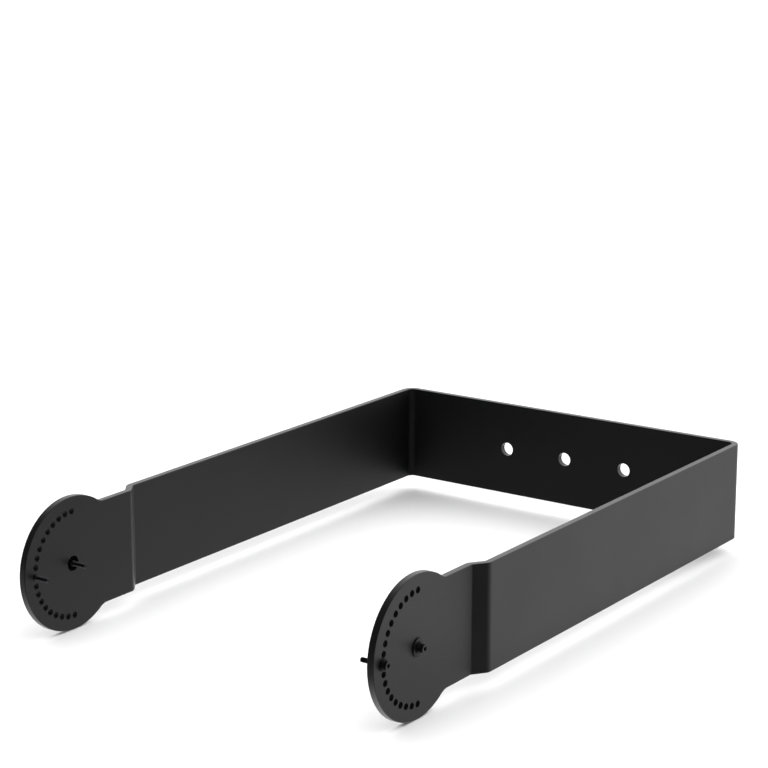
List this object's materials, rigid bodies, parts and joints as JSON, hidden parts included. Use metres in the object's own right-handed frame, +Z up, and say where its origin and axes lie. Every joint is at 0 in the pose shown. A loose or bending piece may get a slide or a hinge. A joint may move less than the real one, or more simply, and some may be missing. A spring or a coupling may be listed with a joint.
{
  "type": "speaker wall bracket",
  "caption": "U-shaped wall bracket for a loudspeaker: a folded black steel strip with stepped arms and round lobes, whose pivot and index screws hold the cabinet at a set tilt.",
  "frame": {"origin": "centre of the flat wall face, at the middle of the row of wall holes", "axes": "+Y into the wall, +X to the right arm as seen from the room, +Z up as mounted"},
  "size_m": [0.37, 0.5714, 0.115],
  "materials": {
    "black_powder_coat": "matt black powder coat with a fine grain",
    "black_steel": "black-oxide steel, slightly oily"
  },
  "bodies": {
    "yoke": {"yoke": "black_powder_coat"},
    "pivot_left": {"pivot_screw_left": "black_steel", "pivot_washer_left": "black_steel", "pivot_spring_washer_left": "black_steel"},
    "pivot_right": {"pivot_screw_right": "black_steel", "pivot_washer_right": "black_steel", "pivot_spring_washer_right": "black_steel"},
    "index_left": {"index_screw_left": "black_steel", "index_washer_left": "black_steel", "index_spring_washer_left": "black_steel"},
    "index_right": {"index_screw_right": "black_steel", "index_washer_right": "black_steel", "index_spring_washer_right": "black_steel"}
  },
  "joints": [
    {"name": "tilt_left", "type": "hinge", "parent": "yoke", "child": "pivot_left", "pos_m": [-0.176, -0.514, 0], "axis": [1, 0, 0], "range_deg": [-90, 90]},
    {"name": "tilt_right", "type": "hinge", "parent": "yoke", "child": "pivot_right", "pos_m": [0.176, -0.514, 0], "axis": [1, 0, 0], "range_deg": [-90, 90]},
    {"name": "index_draw_left", "type": "slide", "parent": "yoke", "child": "index_left", "axis": [-1, 0, 0], "range_m": [0, 0.014]},
    {"name": "index_draw_right", "type": "slide", "parent": "yoke", "child": "index_right", "axis": [1, 0, 0], "range_m": [0, 0.014]}
  ]
}
